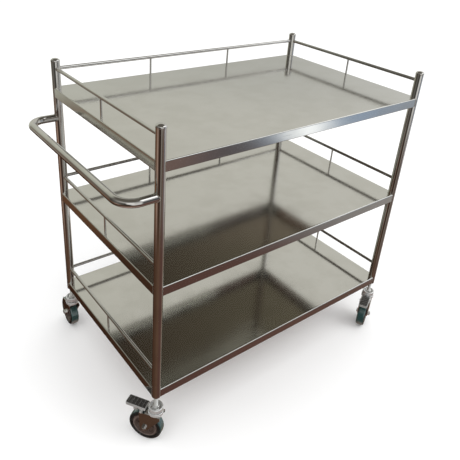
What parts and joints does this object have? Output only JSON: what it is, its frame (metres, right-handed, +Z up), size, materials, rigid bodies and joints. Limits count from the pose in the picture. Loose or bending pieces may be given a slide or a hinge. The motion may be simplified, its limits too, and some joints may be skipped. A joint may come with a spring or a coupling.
{
  "type": "instrument cart",
  "caption": "Stainless steel trolley with flat trays between round corner posts, guard rails, a push handle and swivel casters with foot brakes.",
  "frame": {"origin": "on the floor, under the middle of the whole outline at rest", "axes": "+X along the long side away from the push handle, +Y to the back, +Z up; the open long side faces -Y"},
  "size_m": [1.0552, 0.6864, 0.968],
  "materials": {
    "post": "polished",
    "cap": "polished",
    "tray": "satin",
    "rail": "polished",
    "handle": "polished",
    "plated_fork": "plated",
    "plated_hardware": "plated",
    "pedal": "plated",
    "hub": "moulded",
    "tyre": "smooth rubber"
  },
  "bodies": {
    "frame": {"cup_back_left": "plated_fork", "cup_back_right": "plated_fork", "cup_front_left": "plated_fork", "cup_front_right": "plated_fork", "handle": "handle", "post_back_left": "post", "post_back_right": "post", "post_caps": "cap", "post_front_left": "post", "post_front_right": "post", "rail_bottom_back": "rail", "rail_bottom_left": "rail", "rail_bottom_right": "rail", "rail_middle_back": "rail", "rail_middle_left": "rail", "rail_middle_right": "rail", "rail_top_back": "rail", "rail_top_left": "rail", "rail_top_right": "rail", "stays_bottom": "rail", "stays_middle": "rail", "stays_top": "rail", "stem_back_left": "plated_hardware", "stem_back_right": "plated_hardware", "stem_front_left": "plated_hardware", "stem_front_right": "plated_hardware", "stem_inserts": "plated_hardware", "swivel_balls": "plated_hardware", "tray_bottom": "tray", "tray_middle": "tray", "tray_top": "tray"},
    "caster_front_left": {"fork_front_left": "plated_fork", "axle_front_left": "plated_hardware", "sleeve_front_left": "plated_hardware", "pedal_pin_front_left": "plated_hardware"},
    "wheel_front_left": {"hub_front_left": "hub", "tyre_front_left": "tyre"},
    "brake_front_left": {"pedal_front_left": "pedal"},
    "caster_front_right": {"fork_front_right": "plated_fork", "axle_front_right": "plated_hardware", "sleeve_front_right": "plated_hardware", "pedal_pin_front_right": "plated_hardware"},
    "wheel_front_right": {"hub_front_right": "hub", "tyre_front_right": "tyre"},
    "brake_front_right": {"pedal_front_right": "pedal"},
    "caster_back_left": {"fork_back_left": "plated_fork", "axle_back_left": "plated_hardware", "sleeve_back_left": "plated_hardware"},
    "wheel_back_left": {"hub_back_left": "hub", "tyre_back_left": "tyre"},
    "caster_back_right": {"fork_back_right": "plated_fork", "axle_back_right": "plated_hardware", "sleeve_back_right": "plated_hardware"},
    "wheel_back_right": {"hub_back_right": "hub", "tyre_back_right": "tyre"}
  },
  "joints": [
    {"name": "swivel_front_left", "type": "hinge", "parent": "frame", "child": "caster_front_left", "pos_m": [-0.42461, -0.29121, 0.108], "axis": [0, 0, 1], "continuous": true},
    {"name": "roll_front_left", "type": "hinge", "parent": "caster_front_left", "child": "wheel_front_left", "pos_m": [-0.43945, -0.26746, 0.05], "axis": [-0.848, -0.5299, 0], "continuous": true},
    {"name": "brake_pedal_front_left", "type": "hinge", "parent": "caster_front_left", "child": "brake_front_left", "pos_m": [-0.44475, -0.25898, 0.106], "axis": [-0.848, -0.5299, 0], "range_deg": [0, 8]},
    {"name": "swivel_front_right", "type": "hinge", "parent": "frame", "child": "caster_front_right", "pos_m": [0.50139, -0.29121, 0.108], "axis": [0, 0, 1], "continuous": true},
    {"name": "roll_front_right", "type": "hinge", "parent": "caster_front_right", "child": "wheel_front_right", "pos_m": [0.47644, -0.30392, 0.05], "axis": [0.454, -0.891, 0], "continuous": true},
    {"name": "brake_pedal_front_right", "type": "hinge", "parent": "caster_front_right", "child": "brake_front_right", "pos_m": [0.46753, -0.30846, 0.106], "axis": [0.454, -0.891, 0], "range_deg": [0, 8]},
    {"name": "swivel_back_left", "type": "hinge", "parent": "frame", "child": "caster_back_left", "pos_m": [-0.42461, 0.26479, 0.108], "axis": [0, 0, 1], "continuous": true},
    {"name": "roll_back_left", "type": "hinge", "parent": "caster_back_left", "child": "wheel_back_left", "pos_m": [-0.42266, 0.29272, 0.05], "axis": [-0.9976, 0.0698, 0], "continuous": true},
    {"name": "swivel_back_right", "type": "hinge", "parent": "frame", "child": "caster_back_right", "pos_m": [0.50139, 0.26479, 0.108], "axis": [0, 0, 1], "continuous": true},
    {"name": "roll_back_right", "type": "hinge", "parent": "caster_back_right", "child": "wheel_back_right", "pos_m": [0.47601, 0.27662, 0.05], "axis": [-0.4226, -0.9063, 0], "continuous": true}
  ]
}
